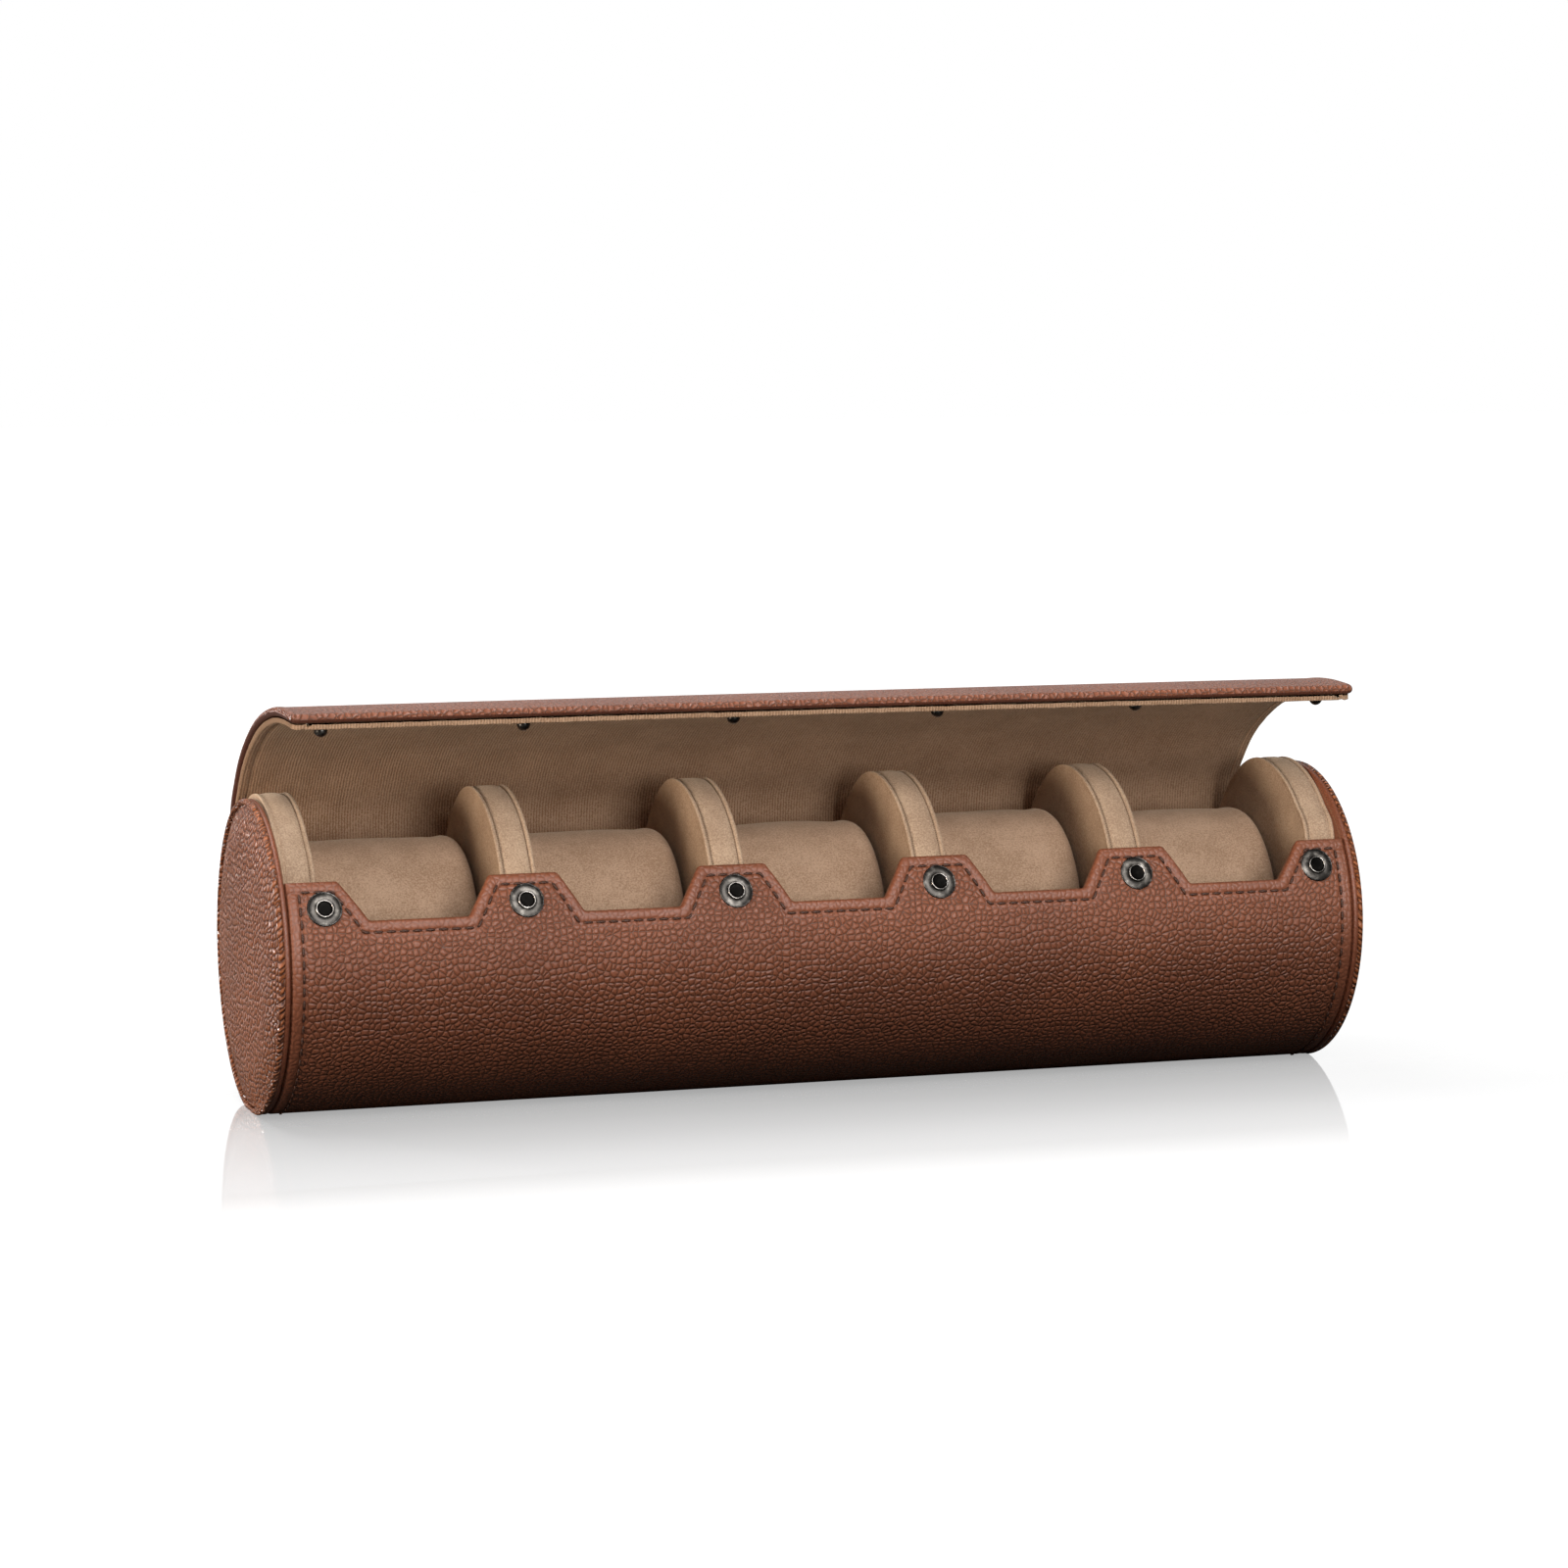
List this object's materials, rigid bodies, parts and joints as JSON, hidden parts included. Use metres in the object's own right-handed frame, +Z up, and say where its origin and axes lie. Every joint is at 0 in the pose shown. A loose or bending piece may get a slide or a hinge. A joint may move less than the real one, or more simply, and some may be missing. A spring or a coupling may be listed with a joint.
{
  "type": "watch roll",
  "caption": "Round leather watch roll with a springy hinged lid, snap tabs along the front, padded dividers and lift-out suede watch cushions",
  "frame": {"origin": "middle of the flat under the case, where it rests, half way along its length", "axes": "+X along the case to the right as seen from the snaps, +Y from the snaps to the lid's hinge, +Z up"},
  "size_m": [0.3474, 0.095, 0.1239],
  "materials": {
    "leather": "pebbled tan-brown leather, semi-gloss",
    "smooth_leather": "smooth brown leather strip and piping",
    "board": "grey-brown fibre board, hidden",
    "suede": "beige microsuede, matt, short nap",
    "divider_board": "fibre board, hidden",
    "divider_suede": "pale beige microsuede, matt, short nap",
    "cushion_suede": "beige microsuede, matt, short nap",
    "foam": "soft open foam, hidden",
    "snap": "gunmetal-plated brass snap",
    "snap_inner": "nickel-plated brass eyelet and rivet"
  },
  "bodies": {
    "case": {"shell_leather": "leather", "shell_board": "board", "shell_lining": "suede", "snap_sockets": "snap", "snap_eyelets": "snap_inner", "left_cap_board": "board", "left_cap_band": "smooth_leather", "left_cap_piping": "smooth_leather", "left_cap_pad": "foam", "left_cap_face": "leather", "right_cap_board": "board", "right_cap_band": "smooth_leather", "right_cap_piping": "smooth_leather", "right_cap_pad": "foam", "right_cap_face": "leather", "divider_1_core": "divider_board", "divider_2_core": "divider_board", "divider_3_core": "divider_board", "divider_4_core": "divider_board", "divider_5_core": "divider_board", "divider_6_core": "divider_board", "divider_1_cover": "divider_suede", "divider_2_cover": "divider_suede", "divider_3_cover": "divider_suede", "divider_4_cover": "divider_suede", "divider_5_cover": "divider_suede", "divider_6_cover": "divider_suede"},
    "lid_back": {"lid_back_leather": "leather", "lid_back_board": "board", "lid_back_lining": "suede"},
    "lid_front": {"lid_front_leather": "leather", "lid_front_board": "board", "lid_front_lining": "suede", "snap_studs": "snap", "snap_rivets": "snap_inner"},
    "cushion_1": {"cushion_1_foam": "foam", "cushion_1_cover": "cushion_suede"},
    "cushion_2": {"cushion_2_foam": "foam", "cushion_2_cover": "cushion_suede"},
    "cushion_3": {"cushion_3_foam": "foam", "cushion_3_cover": "cushion_suede"},
    "cushion_4": {"cushion_4_foam": "foam", "cushion_4_cover": "cushion_suede"},
    "cushion_5": {"cushion_5_foam": "foam", "cushion_5_cover": "cushion_suede"}
  },
  "joints": [
    {"name": "lid_hinge", "type": "hinge", "parent": "case", "child": "lid_back", "pos_m": [0, 0.0447, 0.06082], "axis": [-1, 0, 0], "range_deg": [-20, 80]},
    {"name": "lid_flex", "type": "hinge", "parent": "lid_back", "child": "lid_front", "pos_m": [0, -0.00001, 0.11431], "axis": [-1, 0, 0], "range_deg": [-32.5, 0]},
    {"name": "cushion_1_lift", "type": "slide", "parent": "case", "child": "cushion_1", "axis": [0, -0.342, 0.9397], "range_m": [0, 0.035]},
    {"name": "cushion_2_lift", "type": "slide", "parent": "case", "child": "cushion_2", "axis": [0, -0.342, 0.9397], "range_m": [0, 0.035]},
    {"name": "cushion_3_lift", "type": "slide", "parent": "case", "child": "cushion_3", "axis": [0, -0.342, 0.9397], "range_m": [0, 0.035]},
    {"name": "cushion_4_lift", "type": "slide", "parent": "case", "child": "cushion_4", "axis": [0, -0.342, 0.9397], "range_m": [0, 0.035]},
    {"name": "cushion_5_lift", "type": "slide", "parent": "case", "child": "cushion_5", "axis": [0, -0.342, 0.9397], "range_m": [0, 0.035]}
  ]
}
